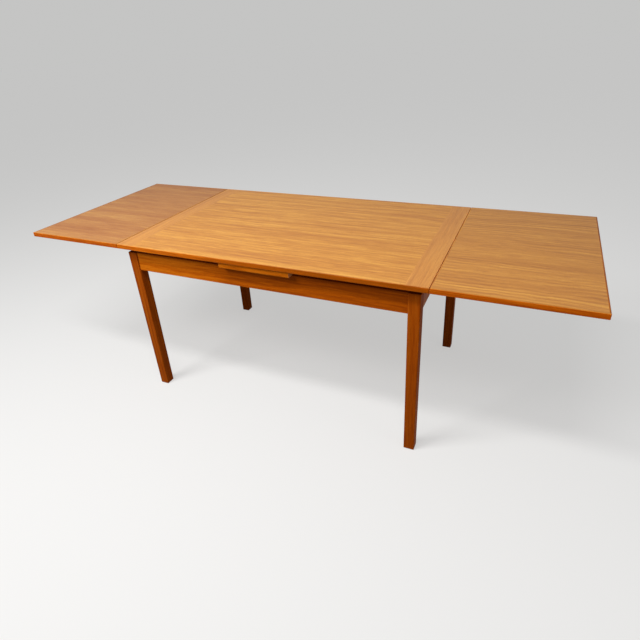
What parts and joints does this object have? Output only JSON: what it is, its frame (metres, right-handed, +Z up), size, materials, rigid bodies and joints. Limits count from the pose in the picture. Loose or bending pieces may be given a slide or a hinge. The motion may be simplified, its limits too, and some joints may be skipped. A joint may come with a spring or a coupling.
{
  "type": "draw leaf table",
  "caption": "Rectangular teak dining table on tapered legs, with a leaf drawn out level with the top at each end on sloping wooden bars.",
  "frame": {"origin": "on the floor under the middle of the table", "axes": "+X along the table towards the right leaf, +Y from the front side to the back side, +Z up"},
  "size_m": [2.3024, 0.836, 0.725],
  "materials": {
    "long_apron": "oiled teak, grain along the table",
    "peg_wood": "turned beech",
    "end_apron": "oiled teak, grain across the table",
    "centre_board": "oiled teak, grain along the table",
    "screw_steel": "plain steel",
    "centre_rail": "plain planed beech",
    "brace_wood": "plain sawn beech",
    "long_lipping": "satin solid teak edging, grain along the table",
    "cross_lipping": "satin solid teak edging, grain across the table",
    "leaf_veneer": "satin teak veneer, a shade darker than the top",
    "loper_wood": "plain planed beech, waxed",
    "leg_wood": "oiled solid teak, upright grain",
    "zinc_steel": "dull zinc plate",
    "top_band": "satin solid teak with the grain across the table",
    "top_veneer": "satin teak veneer with the grain along the table"
  },
  "bodies": {
    "frame": {"apron_back": "long_apron", "apron_dowels": "peg_wood", "apron_front": "long_apron", "apron_left_end": "end_apron", "apron_right_end": "end_apron", "centre_board": "centre_board", "centre_board_screws": "screw_steel", "centre_rail": "centre_rail", "corner_brace_back_left": "brace_wood", "corner_brace_back_right": "brace_wood", "corner_brace_front_left": "brace_wood", "corner_brace_front_right": "brace_wood", "leg_back_left": "leg_wood", "leg_back_right": "leg_wood", "leg_bolts": "zinc_steel", "leg_front_left": "leg_wood", "leg_front_right": "leg_wood", "leg_nuts": "zinc_steel", "leg_washers": "zinc_steel", "rail_dowels": "peg_wood"},
    "top": {"guide_pegs": "peg_wood", "top_band_left": "top_band", "top_band_right": "top_band", "top_lipping_back": "long_lipping", "top_lipping_front": "long_lipping", "top_panel": "top_veneer", "top_tongues": "peg_wood"},
    "left_leaf": {"left_leaf_lipping_back": "long_lipping", "left_leaf_lipping_end": "cross_lipping", "left_leaf_lipping_front": "long_lipping", "left_leaf_lipping_joint": "cross_lipping", "left_leaf_panel": "leaf_veneer", "left_loper_back": "loper_wood", "left_loper_front": "loper_wood", "left_loper_screws": "screw_steel", "left_stop_pegs": "peg_wood"},
    "right_leaf": {"right_leaf_lipping_back": "long_lipping", "right_leaf_lipping_end": "cross_lipping", "right_leaf_lipping_front": "long_lipping", "right_leaf_lipping_joint": "cross_lipping", "right_leaf_panel": "leaf_veneer", "right_loper_back": "loper_wood", "right_loper_front": "loper_wood", "right_loper_screws": "screw_steel", "right_stop_pegs": "peg_wood"}
  },
  "joints": [
    {"name": "top_lift", "type": "slide", "parent": "frame", "child": "top", "axis": [0, 0, 1], "range_m": [0, 0.06]},
    {"name": "left_leaf_draw", "type": "slide", "parent": "frame", "child": "left_leaf", "axis": [-0.9992, 0, 0.0409], "range_m": [0, 0.01801]},
    {"name": "right_leaf_draw", "type": "slide", "parent": "frame", "child": "right_leaf", "axis": [0.9992, 0, 0.0409], "range_m": [0, 0.01801]}
  ]
}
